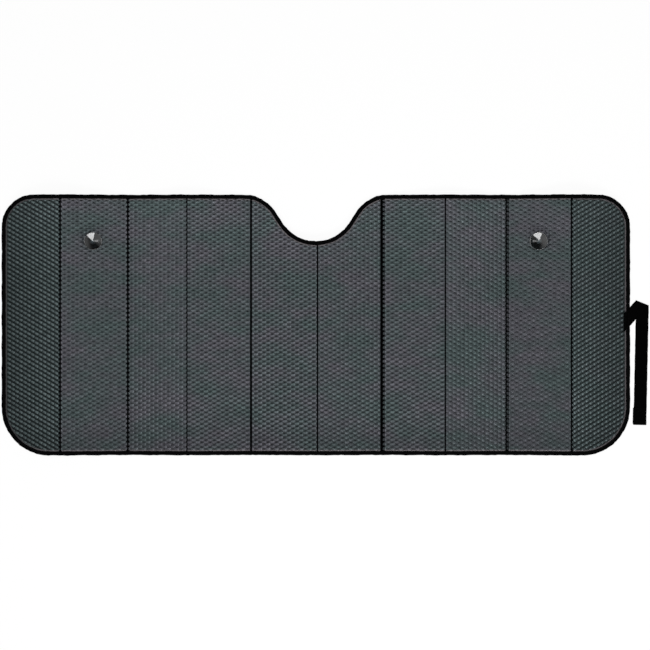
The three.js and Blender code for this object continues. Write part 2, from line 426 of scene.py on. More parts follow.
film = {
    "cool": (0.059, 0.077, 0.078, 1),
    "warm": (0.077, 0.077, 0.088, 1),
    "driftScale": (7.0, 14.0, 7.0),
    "driftRange": (0.38, 0.62),
    "pressed": (0.0010, 0.0011, 0.0012, 1),  # painted shade in the creases
    "pressedRoughness": 0.6,
    "margin": (0.104, 0.095, 0.100, 1),  # pressed film beside the tape
    "marginEdge": (0.0112, 0.0132),  # where it ends, inside the outline
    "paintedMarginShade": 0.6,  # by how much painted shade weakens it at the left end
    "paintedMarginShadeFrom": (0.62, 0.72),  # between these distances from the middle
    "paintedTopLight": 0.15,  # painted light, towards the top edge
    "paintedTopLightUp": (0.40, 0.575),  # between these heights
    "paintedBottomShade": 0.23,  # painted shade, towards the bottom edge
    "paintedBottomShadeUp": (0.01, 0.10),
    "paintedEndShade": 0.28,  # painted shade, towards both ends
    "paintedEndShadeOut": (0.60, 0.735),
    "metallic": 1.0,
    "roughness": (0.38, 0.54),
    "wrinkleScale": 420.0,
    "wrinkle": (0.35, 0.0003),  # strength and depth
    "dusty": 0.10,
    "dustColour": (0.25, 0.25, 0.25, 1),
    "outerInset": 0.0014,
    "marginInsets": (0.0098, 0.0020),  # rings under the tape and over its margin
}


def filmMaterial():
    material, tree, shader = newMaterial("darkBubbleFilm")
    place = addNode(tree, "ShaderNodeTexCoord").outputs["Object"]
    tone = addNode(tree, "ShaderNodeAttribute", attribute_name="filmToneAndShade")
    parts = addNode(tree, "ShaderNodeSeparateColor", {0: tone.outputs["Color"]})
    specks = addNode(tree, "ShaderNodeGroup", {"Vector": place}, node_tree=dustGroup)
    # cool and warm tints drift over the film in soft bands
    stretch = addNode(tree, "ShaderNodeMapping", {"Vector": place, "Scale": film["driftScale"]})
    drift = addNoise(tree, stretch.outputs[0], 1.0, 3.0, 0.6)
    share = addRange(tree, drift, film["driftRange"]).outputs["Result"]
    tint = blendColour(tree, calc(tree, "MULTIPLY", share, tone.outputs["Alpha"]), film["cool"], film["warm"])
    # the blue channel carries the film's lightness with its painted light and shade
    level = calc(tree, "MULTIPLY", parts.outputs[2], 2.0)
    shaded = addNode(tree, "ShaderNodeVectorMath", {0: tint, 3: level}, operation="SCALE").outputs[0]
    edged = blendColour(tree, parts.outputs[1], shaded, film["margin"])
    # painted shade in the creases, near black
    pressed = blendColour(tree, parts.outputs[0], edged, film["pressed"])
    speckled = calc(tree, "MULTIPLY", specks.outputs["Mask"], film["dusty"])
    colour = blendColour(tree, speckled, pressed, film["dustColour"])
    tree.links.new(colour, shader.inputs["Base Color"])
    wrinkles = addNoise(tree, place, film["wrinkleScale"], 4.0, 0.6)
    rough = addRange(tree, wrinkles, wanted=film["roughness"]).outputs["Result"]
    roughPressed = calc(tree, "MULTIPLY", parts.outputs[0], film["pressedRoughness"])
    tree.links.new(calc(tree, "MAXIMUM", rough, roughPressed), shader.inputs["Roughness"])
    addBump(tree, shader, wrinkles, *film["wrinkle"])
    shader.inputs["Metallic"].default_value = film["metallic"]
    return material


def clothMaterial(name, values):
    colour, thread, fuzz, roughness, depth = values
    material, tree, shader = newMaterial(name)
    place = addNode(tree, "ShaderNodeUVMap", uv_map="cloth").outputs[0]
    weaving = {"Vector": place, "Thread": thread, "Fuzz": fuzz}
    weave = addNode(tree, "ShaderNodeGroup", weaving, node_tree=weaveGroup)
    dusting = {"Vector": place, "Scale": cloths["dustScale"]}
    specks = addNode(tree, "ShaderNodeGroup", dusting, node_tree=dustGroup)
    low = tuple(c * cloths["low"] for c in colour) + (1,)
    high = tuple(c * cloths["high"] for c in colour) + (1,)
    mixed = blendColour(tree, weave.outputs["Shade"], low, high)
    speckled = calc(tree, "MULTIPLY", specks.outputs["Mask"], cloths["dusty"])
    tree.links.new(blendColour(tree, speckled, mixed, cloths["dustColour"]), shader.inputs["Base Color"])
    addBump(tree, shader, weave.outputs["Height"], cloths["bump"], depth)
    shader.inputs["Roughness"].default_value = roughness
    shader.inputs["Specular IOR Level"].default_value = cloths["specular"]
    return material


thread = {
    "scale": 1800.0,
    "colours": ((0.0012, 0.0012, 0.0012, 1), (0.005, 0.005, 0.005, 1)),
    "bump": (0.5, 0.0001),
    "roughness": 0.7,
    "specular": 0.1,
}


def threadMaterial():
    material, tree, shader = newMaterial("blackThread")
    place = addNode(tree, "ShaderNodeTexCoord").outputs["Object"]
    twist = addNoise(tree, place, thread["scale"], 2.0)
    tree.links.new(blendColour(tree, twist, *thread["colours"]), shader.inputs["Base Color"])
    addBump(tree, shader, twist, *thread["bump"])
    shader.inputs["Roughness"].default_value = thread["roughness"]
    shader.inputs["Specular IOR Level"].default_value = thread["specular"]
    return material


vinyl = {
    "scale": 55.0,
    "colours": ((0.04, 0.05, 0.055, 1), (0.09, 0.11, 0.12, 1)),
    "roughness": (0.02, 0.08),
    "ior": 1.55,
    "coat": 0.8,
    "coatRoughness": 0.05,
}


def cupMaterial():
    material, tree, shader = newMaterial("clearVinyl")
    place = addNode(tree, "ShaderNodeTexCoord").outputs["Object"]
    flow = addNoise(tree, place, vinyl["scale"], 2.0)
    tree.links.new(blendColour(tree, flow, *vinyl["colours"]), shader.inputs["Base Color"])
    rough = addRange(tree, flow, wanted=vinyl["roughness"]).outputs["Result"]
    tree.links.new(rough, shader.inputs["Roughness"])
    shader.inputs["Transmission Weight"].default_value = 1.0
    shader.inputs["IOR"].default_value = vinyl["ior"]
    shader.inputs["Coat Weight"].default_value = vinyl["coat"]
    shader.inputs["Coat Roughness"].default_value = vinyl["coatRoughness"]
    return material


filmFinish = filmMaterial()
tapeFinish = clothMaterial("blackTape", cloths["tape"])
strapFinish = clothMaterial("blackBrushedWebbing", cloths["webbing"])
hookFinish = clothMaterial("blackHookTape", cloths["hook"])
threadFinish = threadMaterial()
cupFinish = cupMaterial()


def dress(piece, material, body):
    piece.data.materials.clear()
    piece.data.materials.append(material)
    pickOnly(piece)
    bpy.ops.object.shade_smooth_by_angle(angle=math.radians(50))
    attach(piece, body)


print("materials made")

bubbles = {
    "pitch": 0.0108,  # up each column
    "column": 0.0097,  # between columns, each one half a pitch off the last
    "radius": 0.00515,
    "filmHalf": 0.0006,  # the pressed film reaches this far each way
    "sink": 0.00012,  # bubbles start this far under its surface
    # sides of a bubble, inset and rise of each of its rings, and its crown
    "front": (12, ((0.00115, 0.00076), (0.00175, 0.00058)), 0.00018),
    "back": (6, ((0.0011, 0.0012),), 0.0002),
    "frontParts": (-1, -0.375, 0, 0.375, 1),
    "highest": 0.00215,
    "firstUp": 0.004,
    "fill": 0.045,  # bubbles are filled a little unevenly
    "fillRange": (0.5, 1.06),
    "soft": (0.006, 0.6),  # the share of bubbles gone soft, and their fill
    "drawn": 0.0012,  # painted shade on a bubble starts here on each side of its middle line
    "ends": (0.0018, 0.0050),  # painted light makes it paler towards the ends of that line
    "uneven": 0.09,  # in shade, from bubble to bubble
    "endSqueeze": 0.968,  # bubbles of the end panels are a little narrower
    "margin": (0.0104, 0.0134),  # bubbles rise from the pressed margin between these insets
    "clear": (0.0085, 0.0096),  # no bubbles this near to the edge and to a cup's middle
    "creaseEdge": 0.0022,  # the bubbles rise over this width beside a crease
    "paintEdge": 0.0008,  # and the crease's painted shade fades over this
    "cups": (0.5225, 0.501),
    "creaseLeast": 0.0003,  # the least half width of a crease between bubbles
    "hole": (0.0045, 32),  # radius and sides
}
bubbleBase = bubbles["filmHalf"] - bubbles["sink"]
# each pressed crease, left to right: distance from its fold line, width of the pressed strip and its painted
# shade, and how far the edges of the bubbles stand into it, which scallops it; two of them look pressed twice
pressings = (
    (0, 0.0, 0.0047, 0.0010), (1, 0.0, 0.0057, 0.0010), (2, 0.0, 0.0024, 0.0003),
    (3, 0.0, 0.0041, 0.0001), (4, 0.0004, 0.0030, 0.0001), (5, -0.0009, 0.0062, 0.0002),
    (5, 0.0046, 0.0018, 0.0005), (6, 0.0, 0.0027, 0.0003), (7, -0.0018, 0.0034, 0.0009),
    (7, 0.0022, 0.0029, 0.0009), (8, 0.0, 0.0038, 0.0004),
)
creases = tuple((sheet["folds"][fold] + off, width, scallop) for fold, off, width, scallop in pressings)
# for each panel, left to right: lightness of its film with painted light and shade panel by panel, how far
# its tint drifts to warm, painted shade of each bubble away from its middle line and where it is reached,
# painted shade between the bubbles, how much paler the two ends of a bubble's middle line are painted, and
# that line's lean in degrees
panels = {
    "panelLightAndShade": (1.46, 1.03, 1.11, 1.20, 1.27, 1.13, 1.165, 0.87, 0.805, 1.49),
    "warmth": (0.1, 1.0, 1.0, 1.0, 1.0, 1.0, 1.0, 1.0, 1.0, 0.25),
    "drawn": (0.13, 0.46, 0.45, 0.24, 0.14, 0.33, 0.24, 0.90, 0.72, 0.15),
    "reach": (0.0036, 0.0038, 0.0038, 0.0038, 0.0038, 0.0038, 0.0038, 0.0038, 0.0038, 0.0035),
    "paintedGapShade": (0.2, 0.7, 0.65, 0.57, 0.5, 0.6, 0.55, 1.0, 0.88, 0.3),
    "paintedRightEnd": (0.0, 1.0, 1.0, 1.0, 1.0, 1.0, 1.0, 0.6, 0.8, 1.0),
    "paintedLeftEnd": (0.0, 0.6, 0.6, 0.6, 0.6, 0.6, 0.6, 0.4, 0.5, -0.40),
    "lean": (31, -10, -10, -10, -10, -10, -10, -10, -10, -31),
}


def byPanel(key, x):
    return np.array(panels[key], dtype=float)[np.searchsorted(sheet["folds"], x)]


def creaseShare(x, soft, side):
    # side 1: the film between the bubbles, side -1: the bubbles
    share = np.zeros(len(x))
    for place, width, scallop in creases:
        half = max(width / 2 + side * scallop, bubbles["creaseLeast"])
        share = np.maximum(share, 1 - smooth(half, half + soft, np.abs(x - place)))
    return share


def paintFilm(piece, flat, shade, side):
    # red: painted shade of the pressed creases, green: pressed margin, blue: half the film's lightness with
    # its painted light and shade, alpha: warmth
    x, y = flat[:, 0], flat[:, 1]
    inside = loopPlace(x, y)[1]
    colours = np.ones((len(x), 4))
    colours[:, 0] = creaseShare(x, bubbles["paintEdge"], side)
    margin = 1 - film["paintedMarginShade"] * smooth(*film["paintedMarginShadeFrom"], -x)
    colours[:, 1] = (1 - smooth(*film["marginEdge"], inside)) * margin
    # painted light towards the top edge, painted shade towards the bottom edge and both ends
    up = 1 + film["paintedTopLight"] * smooth(*film["paintedTopLightUp"], y) - film["paintedBottomShade"] * (1 - smooth(*film["paintedBottomShadeUp"], y))
    out = 1 - film["paintedEndShade"] * smooth(*film["paintedEndShadeOut"], np.abs(x))
    colours[:, 2] = byPanel("panelLightAndShade", x) * shade / 2 * up * out
    colours[:, 3] = byPanel("warmth", x)
    layer = piece.data.color_attributes.new("filmToneAndShade", "FLOAT_COLOR", "POINT")
    layer.data.foreach_set("color", colours.astype(np.float32).ravel())


def makeFilm():
    piece = outlineFace("bubbleFilm")
    shrinkFace(piece, film["outerInset"])
    editFaces(piece)
    for inset in film["marginInsets"]:
        bpy.ops.mesh.inset(thickness=inset, use_even_offset=True)
    backToObject()
    cuts = list(foldLine[1:-1, 0])
    for place, width, scallop in creases:
        for reach in (width / 2 + scallop, width / 2 + scallop + bubbles["paintEdge"]):
            cuts += [place - reach, place + reach]
    for left, right in zip(sheet["folds"][:-1], sheet["folds"][1:]):
        cuts += [(left + right) / 2]
    cutAt(piece, sorted(set(round(float(x), 6) for x in cuts)), (1, 0))
    addModifier(piece, "SOLIDIFY", thickness=2 * bubbles["filmHalf"], offset=0, use_even_offset=True)
    radius, sides = bubbles["hole"]
    for side in (-1, 1):
        place = (side * bubbles["cups"][0], bubbles["cups"][1], 0)
        bpy.ops.mesh.primitive_cylinder_add(vertices=sides, radius=radius, depth=0.01, location=place)
        punch = newest("punch")
        addModifier(piece, "BOOLEAN", operation="DIFFERENCE", object=punch, solver="EXACT")
        bpy.data.objects.remove(punch)
    flat = points(piece)
    # painted shade on the film between the bubbles, panel by panel
    paintFilm(piece, flat, byPanel("paintedGapShade", flat[:, 0]), 1)
    foldSheet(piece)
    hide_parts("bubble_sheet")
    dress(piece, filmFinish, "shade")
    return piece


def oneBubble(name, sides, rings, crown):
    # one bubble: a flat disc, inset and raised ring by ring to a rounded crown
    bpy.ops.mesh.primitive_circle_add(
        vertices=sides, radius=bubbles["radius"], fill_type="NGON", location=(0, 0, bubbleBase)
    )
    piece = newest(name)
    settle(piece)
    editFaces(piece)
    for inset, up in rings:
        bpy.ops.mesh.inset(thickness=inset, depth=up)
    bpy.ops.mesh.poke(offset=crown)
    backToObject()
    return piece


def bubbleField(name, shape):
    piece = oneBubble(name, *shape)
    perBubble = len(piece.data.vertices)
    rows = int(sheet["height"] / bubbles["pitch"]) + 1
    columns = int(halfWidth / bubbles["column"]) + 1
    repeatPiece(piece, rows, (0, bubbles["pitch"], 0))
    editFaces(piece)
    bpy.ops.mesh.duplicate()
    bpy.ops.transform.translate(value=(bubbles["column"], bubbles["pitch"] / 2, 0))
    backToObject()
    repeatPiece(piece, columns, (2 * bubbles["column"], 0, 0))
    places = points(piece)
    places[:, 0] -= (columns - 0.5) * bubbles["column"]
    places[:, 1] += bubbles["firstUp"]
    beyond = np.maximum(np.abs(places[:, 0]) - sheet["folds"][-1], 0) * (1 - bubbles["endSqueeze"])
    places[:, 0] -= np.sign(places[:, 0]) * beyond
    each = places.reshape(-1, perBubble, 3)
    centres = each.mean(axis=1)
    inside = loopPlace(centres[:, 0], centres[:, 1])[1]
    fromCup = np.hypot(np.abs(centres[:, 0]) - bubbles["cups"][0], centres[:, 1] - bubbles["cups"][1])
    keep = (inside > bubbles["clear"][0]) & (fromCup > bubbles["clear"][1])
    fill = rng.normal(1.0, bubbles["fill"], len(centres))
    softShare, softFill = bubbles["soft"]
    fill[rng.random(len(centres)) < softShare] = softFill
    x, y, up = places[:, 0], places[:, 1], places[:, 2]
    edge = loopPlace(x, y)[1]
    stands = (1 - creaseShare(x, bubbles["creaseEdge"], -1)) * smooth(*bubbles["margin"], edge)
    filled = np.repeat(np.clip(fill, *bubbles["fillRange"]), perBubble)
    places[:, 2] = np.minimum(bubbleBase + (up - bubbleBase) * stands * filled, bubbles["highest"])
    movePoints(piece, places)
    # painted light and shade: each bubble is paler along its middle line and darker away from it
    offX, offY = ((each - centres[:, None, :])[:, :, axis].ravel() for axis in (0, 1))
    lean = np.radians(byPanel("lean", np.repeat(centres[:, 0], perBubble)))
    away = np.abs(offX * np.sin(lean) + offY * np.cos(lean))
    toEnd = offX * np.cos(lean) - offY * np.sin(lean)
    # thin is the painted shade away from the middle line
    thin = byPanel("drawn", x)
    uneven = np.repeat(1 + bubbles["uneven"] * rng.normal(0, 1, len(centres)).clip(-2, 2), perBubble)
    shade = uneven * (1 - (1 - thin) * smooth(bubbles["drawn"], byPanel("reach", x), away))
    # painted light towards each end of the middle line; a negative value paints shade there
    for side, key in ((1, "paintedRightEnd"), (-1, "paintedLeftEnd")):
        shade *= 1 + byPanel(key, x) * smooth(*bubbles["ends"], side * toEnd)
    paintFilm(piece, places, shade, -1)
    keepPoints(piece, np.repeat(keep, perBubble))
    return piece, perBubble


def finishBubbles(piece):
    foldSheet(piece)
    piece.data.materials.append(filmFinish)
    pickOnly(piece)
    bpy.ops.object.shade_smooth()
    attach(piece, "shade")
    print(" ", piece.name, len(piece.data.polygons), "faces")


def makeBubbles():
    # the glass side is drawn in four parts, the back more simply in one
    front, perBubble = bubbleField("bubblesFront", bubbles["front"])
    middles = np.repeat(points(front).reshape(-1, perBubble, 3).mean(axis=1)[:, 0], perBubble)
    names = ("bubblesFarLeft", "bubblesLeft", "bubblesRight", "bubblesFarRight")
    for name, low, high in zip(names, bubbles["frontParts"][:-1], bubbles["frontParts"][1:]):
        piece = placeObject(name, front.data.copy())
        piece.data.name = name
        keepPoints(piece, (middles >= low) & (middles < high))
        finishBubbles(piece)
    bpy.data.objects.remove(front)
    back = bubbleField("bubblesBack", bubbles["back"])[0]
    turnOver(back)
    finishBubbles(back)


filmSheet = makeFilm()
print("film folded")
makeBubbles()
print("bubbles laid")

tape = {
    "width": 0.010,
    "cloth": 0.0011,
    # inset and rise of each ring, from its edge inwards
    "section": (
        (0.00015, 0.00078), (0.00045, 0.00045), (0.0008, 0.00022),
        (0.0037, 0.0), (0.0029, 0.0), (0.0011, -0.00006),
    ),
    "step": 0.008,  # between cuts
    # the outer edge bulges between stitches, the inner edge wanders and the cloth pillows
    "bulge": (0.00045, (0.0091, 0.0147, 0.0233, 0.061), 3),
    "bulgeMean": 0.000135,
    "wander": (0.0003, (0.012, 0.021, 0.047), 5),
    "wanderFrom": (0.006, 0.010),
    "pillow": (0.05, (0.008, 0.017, 0.039), 9),
    "pillowOver": 0.0012,
    "seam": 0.0078,  # in from the outline
    "stitches": (0.00208, 0.0040, 0.0028, 0.00042),  # height, pitch, length and thickness
}


def mapCloth(piece, along, across, total=None):
    # the weave follows the piece, along and across it; total is the length of a closed loop
    layer = piece.data.uv_layers.new(name="cloth")
    loops = np.empty(len(piece.data.loops), dtype=np.int64)
    piece.data.loops.foreach_get("vertex_index", loops)
    u, v = along[loops], across[loops]
    if total:
        starts = np.empty(len(piece.data.polygons), dtype=np.int64)
        counts = np.empty(len(piece.data.polygons), dtype=np.int64)
        piece.data.polygons.foreach_get("loop_start", starts)
        piece.data.polygons.foreach_get("loop_total", counts)
        high = np.repeat(np.maximum.reduceat(u, starts), counts)
        u = np.where(high - u > total / 2, u + total, u)
    layer.data.foreach_set("uv", np.stack([u, v], axis=1).astype(np.float32).ravel())


def makeTape():
    # one side of the folded tape, mirrored round the film's edge, then given its cloth
    piece = outlineFace("edgeTape")
    shrinkFace(piece, tape["cloth"] / 2)
    editFaces(piece)
    for inset, up in tape["section"]:
        bpy.ops.mesh.inset(thickness=inset, depth=up, use_even_offset=True)
    bpy.ops.mesh.delete(type="FACE")
    backToObject()
    addModifier(piece, "MIRROR", use_axis=(False, False, True), merge_threshold=0.00002)
    start = tape["step"] / 2
    cutAt(piece, [*np.arange(-halfWidth + start, halfWidth, tape["step"]), *foldLine[1:-1, 0]], (1, 0))
    cutAt(piece, np.arange(start, sheet["height"], tape["step"]), (0, 1))
    addModifier(piece, "SOLIDIFY", thickness=tape["cloth"], offset=0, use_even_offset=True)
    places = points(piece)
    along, inside, outX, outY = loopPlace(places[:, 0], places[:, 1])
    topSide = places[:, 2] > 0
    mapCloth(piece, along, np.where(topSide, inside, -inside), loopTotal)
    # hand-fed tape is a little uneven
    rim = 1 - smooth(0, tape["width"], inside)
    bulge = rim * (tape["bulgeMean"] + ripple(along, *tape["bulge"]))
    wander = smooth(*tape["wanderFrom"], inside) * ripple(along, *tape["wander"])
    places[:, 0] += outX * (bulge - wander)
    places[:, 1] += outY * (bulge - wander)
    places[:, 2] *= 1 + ripple(along, *tape["pillow"]) * (np.abs(places[:, 2]) > tape["pillowOver"])
    movePoints(piece, places)
    foldSheet(piece)
    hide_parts("edge_binding")
    dress(piece, tapeFinish, "shade")
    print("  tape", len(piece.data.polygons), "faces")
    return piece


stitch = {
    "straight": 0.6,  # shares of its length
    "end": 0.2,
    "dip": 0.55,  # shares of its thickness
    "thin": 0.6,
    "over": 0.0001,  # over strap and tab
}


def oneStitch(name, length, thick):
    # a six-sided rod whose ends dip into the cloth
    middle, thin = length / 2, stitch["thin"]
    bpy.ops.mesh.primitive_cylinder_add(
        vertices=6, radius=thick / 2, depth=length * stitch["straight"],
        location=(middle, 0, 0), rotation=(0, math.pi / 2, 0),
    )
    piece = newest(name)
    settle(piece)
    for side in (-1, 1):
        dip = -thick * stitch["dip"]
        editPick(piece, lambda co: (co.x - middle) * side > 0)
        move = {"value": (side * length * stitch["end"], 0, dip)}
        bpy.ops.mesh.extrude_region_move(TRANSFORM_OT_translate=move)
        bpy.ops.transform.resize(value=(1, thin, thin), center_override=(middle + side * middle, 0, dip))
        backToObject()
    return piece


def sewAlong(name, line, height, pitch, length, thick):
    # stitches repeated along a closed line of points, laid flat
    piece = oneStitch(name, length, thick)
    curve = bpy.data.curves.new(name + "Line", "CURVE")
    curve.dimensions = "2D"
    spline = curve.splines.new("POLY")
    spline.points.add(len(line) - 1)
    for point, (x, y) in zip(spline.points, line):
        point.co = (x, y, 0, 1)
    spline.use_cyclic_u = True
    guide = placeObject(name + "Line", curve)
    total = float(np.linalg.norm(np.diff(np.vstack([line, line[:1]]), axis=0), axis=1).sum())
    count = int(total / pitch)
    repeatPiece(piece, count, (total / count, 0, 0))
    addModifier(piece, "CURVE", object=guide, deform_axis="POS_X")
    bpy.data.objects.remove(guide)
    places = points(piece)
    places[:, 2] += height
    movePoints(piece, places)
    return piece


def makeTapeStitches():
    guide = outlineFace("stitchGuide")
    shrinkFace(guide, tape["seam"])
    line = [tuple(guide.data.vertices[i].co[:2]) for i in guide.data.polygons[0].vertices]
    bpy.data.objects.remove(guide)
    top = sewAlong("tapeStitches", line, *tape["stitches"])
    under = sewAlong("tapeStitchesBack", line, *tape["stitches"])
    turnOver(under)
    for piece in (top, under):
        foldSheet(piece)
        dress(piece, threadFinish, "shade")
    print("  stitches", len(top.data.polygons), "faces a side")


edgeTape = makeTape()
makeTapeStitches()
print("tape sewn")

strap = {
    "width": 0.030,
    "thick": 0.0014,
    "sewn": 0.0145,
    "foldPoint": (halfWidth + 0.028, 0.3555),
    "tail": 0.285,
    "heading": math.radians(47),
    "tailHeading": math.radians(-91.2),
    "bend": 0.0011,
    "start": -0.080,
    "seamHeight": 0.0030,  # over the film's middle, where it is sewn on
    "ease": 0.011,  # from the sheet's edge down to the floor
    "selvedge": (0.0003, (0.006, 0.013, 0.037), 11),
    "selvedgeFrom": (0.010, 0.015),
    "seam": (0.0105, 0.0030, 0.0125),  # the sewn box: from and to, in from the edge, and half its height
    "stitches": (0.0032, 0.0024, 0.00045),  # pitch, length and thickness
    "rounding": 0.00045,
    # cuts across it: first and last before the bend and their pitch, first after it and their pitch
    "cuts": (0.006, -0.004, 0.003, 0.012, 0.006),
    "lengthCuts": (0.013, 7),  # the outermost cut along it, and their number
}
tab = {
    "size": (0.032, 0.040, 0.0007),
    "gap": 0.0002,  # over the tail
    "corner": 0.004,
    "cuts": 0.004,
    "rounding": 0.0002,
    "stem": (0.00013, 0.00035, 0.00017),  # a hook's radius, height and middle, over the tab
    "bends": ((0.00012, 0.00022, 0.9), (0.00022, 0.00006, 0.8), (0.00014, -0.00014, 0.6)),
    "pitch": 0.0016,
    "border": 0.006,
    "seam": 0.0016,
    "stitches": (0.0030, 0.0022, 0.0004),
}
strapBend = math.pi * strap["bend"]
tailLevel = sheet["floor"] + strap["thick"] / 2
legLevel = tailLevel + 2 * strap["bend"]
foldHeading = (strap["heading"] + strap["tailHeading"]) / 2


def heading(angle):
    return np.array([math.cos(angle), math.sin(angle)])


def sewnHeight(x):
    (x0, z0), (x1, z1) = foldLine[-2], foldLine[-1]
    slope = (z1 - z0) / (x1 - x0)
    return z0 + slope * (x - x0) + strap["seamHeight"] * math.hypot(1, slope)


# along and across the leg that is sewn on
ahead, across = heading(strap["heading"]), heading(strap["heading"] + math.pi / 2)


def strapMiddle(s, t):
    # place in space of a point s along and t across the flat strip
    axis, over = heading(foldHeading), heading(foldHeading + math.pi / 2)
    px, py = s * ahead[0] + t * across[0], s * ahead[1] + t * across[1]
    q, a = px * over[0] + py * over[1], px * axis[0] + py * axis[1]
    turn = np.clip(q, 0, strapBend) / strap["bend"]
    reach = np.minimum(q, 0) + strap["bend"] * np.sin(turn) - np.maximum(q - strapBend, 0)
    x = strap["foldPoint"][0] + a * axis[0] + reach * over[0]
    y = strap["foldPoint"][1] + a * axis[1] + reach * over[1]
    z = legLevel - strap["bend"] * (1 - np.cos(turn))
    # between the sheet's edge and the fold the strip eases down to the floor
    ease = smooth(halfWidth, halfWidth + strap["ease"], x)
    onSheet = np.where(x < halfWidth, sewnHeight(x), sewnHeight(halfWidth))
    return np.stack([x, y, np.where(q < 0, onSheet + (legLevel - onSheet) * ease, z)], axis=1)


def layOnStrap(piece):
    flat = points(piece)
    s, t, up = flat[:, 0], flat[:, 1], flat[:, 2]
    step = 0.0003
    middle = strapMiddle(s, t)
    alongS = strapMiddle(s + step, t) - strapMiddle(s - step, t)
    alongT = strapMiddle(s, t + step) - strapMiddle(s, t - step)
    movePoints(piece, middle + unit(np.cross(alongS, alongT)) * up[:, None])


def toStrip(x, y):
    # plan point to strip coordinates, on the leg that is sewn to the sheet
    dx, dy = x - strap["foldPoint"][0], y - strap["foldPoint"][1]
    return dx * ahead[0] + dy * ahead[1], dx * across[0] + dy * across[1]


def makeStrap():
    start, end = strap["start"], strapBend + strap["tail"]
    bpy.ops.mesh.primitive_plane_add(size=1, location=((start + end) / 2, 0, 0))
    piece = newest("storageStrap")
    piece.scale = (end - start, strap["width"], 1)
    settle(piece)
    # the sewn end is cut parallel to the sheet's edge
    square = heading(-strap["heading"])
    cut = toStrip(halfWidth - strap["sewn"], strap["foldPoint"][1])
    editFaces(piece)
    bpy.ops.mesh.bisect(plane_co=(*cut, 0), plane_no=(*square, 0), clear_inner=True)
    backToObject()
    lean = foldHeading + math.pi / 2 - strap["heading"]
    cutAt(piece, [strapBend * step / 8 for step in range(-3, 12)], heading(lean))
    first, last, pitch, firstTail, pitchTail = strap["cuts"]
    cutAt(piece, np.arange(start + first, last, pitch), (1, 0))
    cutAt(piece, np.arange(firstTail, end, pitchTail), (1, 0))
    outermost, count = strap["lengthCuts"]
    cutAt(piece, np.linspace(-outermost, outermost, count), (0, 1))
    addModifier(piece, "SOLIDIFY", thickness=strap["thick"], offset=0)
    roundEdges(piece, strap["rounding"])
    flat = points(piece)
    mapCloth(piece, flat[:, 0], flat[:, 1])
    # selvedges of brushed webbing wander a little
    side = np.sign(flat[:, 1]) * smooth(*strap["selvedgeFrom"], np.abs(flat[:, 1]))
    flat[:, 1] += side * ripple(flat[:, 0], *strap["selvedge"])
    movePoints(piece, flat)
    layOnStrap(piece)
    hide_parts("storage_strap")
    dress(piece, strapFinish, "shade")
    return piece


def makeStrapStitches():
    # a box of stitches holds the strap to the tape
    inner, outer, half = strap["seam"]
    x0, x1 = halfWidth - inner, halfWidth - outer
    rise = math.tan(strap["heading"])
    middleY = [strap["foldPoint"][1] + (x - strap["foldPoint"][0]) * rise for x in (x0, x1)]
    half /= math.cos(strap["heading"])
    box = [(x0, middleY[0] - half), (x1, middleY[1] - half), (x1, middleY[1] + half), (x0, middleY[0] + half)]
    line = [toStrip(x, y) for x, y in box]
    piece = sewAlong("strapStitches", line, strap["thick"] / 2 + stitch["over"], *strap["stitches"])
    layOnStrap(piece)
    dress(piece, threadFinish, "shade")


def layOnTail(piece, level):
    # a piece drawn along +x is turned to lie along the strap's tail
    tail = heading(strap["tailHeading"])
    middle = np.array(strap["foldPoint"]) + tail * (strap["tail"] - tab["size"][1] / 2)
    flat = points(piece)
    placed = flat.copy()
    placed[:, 0] = middle[0] + flat[:, 0] * tail[0] - flat[:, 1] * tail[1]
    placed[:, 1] = middle[1] + flat[:, 0] * tail[1] + flat[:, 1] * tail[0]
    placed[:, 2] = level + flat[:, 2]
    movePoints(piece, placed)


def makeHookTab():
    wide, long, thick = tab["size"]
    level = tailLevel + strap["thick"] / 2 + tab["gap"]
    bpy.ops.mesh.primitive_plane_add(size=1, location=(0, 0, thick / 2))
    piece = newest("hookTab")
    piece.scale = (long, wide, 1)
    settle(piece)
    editPick(piece, lambda co: co.x > 0)
    roundCorners(tab["corner"], 5)
    backToObject()
    for way, span in (((1, 0), long / 2), ((0, 1), wide / 2)):
        cutAt(piece, np.arange(-span + tab["cuts"], span, tab["cuts"]), way)
    addModifier(piece, "SOLIDIFY", thickness=thick, offset=0)
    roundEdges(piece, tab["rounding"])
    flat = points(piece)
    mapCloth(piece, flat[:, 0], flat[:, 1])
    layOnTail(piece, level)
    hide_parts("hook_tab")
    dress(piece, hookFinish, "shade")
    # one hook: a thin stem whose top is bent over
    radius, tall, over = tab["stem"]
    place = (0, 0, thick + over)
    bpy.ops.mesh.primitive_cylinder_add(vertices=5, radius=radius, depth=tall, location=place)
    hooks = newest("tabHooks")
    settle(hooks)
    editPick(hooks, lambda co: co.z > thick + over)
    for dx, dz, size in tab["bends"]:
        bpy.ops.mesh.extrude_region_move(TRANSFORM_OT_translate={"value": (dx, 0, dz)})
        bpy.ops.transform.resize(value=(size, size, size))
    backToObject()
    pitch = tab["pitch"]
    rows, columns = int((long - tab["border"]) / pitch), int((wide - tab["border"]) / pitch)
    repeatPiece(hooks, rows, (pitch, 0, 0))
    repeatPiece(hooks, columns, (0, pitch, 0))
    places = points(hooks)
    places[:, 0] -= (rows - 1) * pitch / 2
    places[:, 1] -= (columns - 1) * pitch / 2
    movePoints(hooks, places)
    layOnTail(hooks, level)
    dress(hooks, threadFinish, "shade")
    # stitches round the tab, cutting its two round corners
    x, y, cut = long / 2 - tab["seam"], wide / 2 - tab["seam"], tab["corner"] / 2
    line = [(-x, -y), (x - cut, -y), (x, -y + cut), (x, y - cut), (x - cut, y), (-x, y)]
    border = sewAlong("tabStitches", line, thick + stitch["over"], *tab["stitches"])
    layOnTail(border, level)
    dress(border, threadFinish, "shade")
    return piece


storageStrap = makeStrap()
makeStrapStitches()
hookTab = makeHookTab()
print("strap folded and sewn")

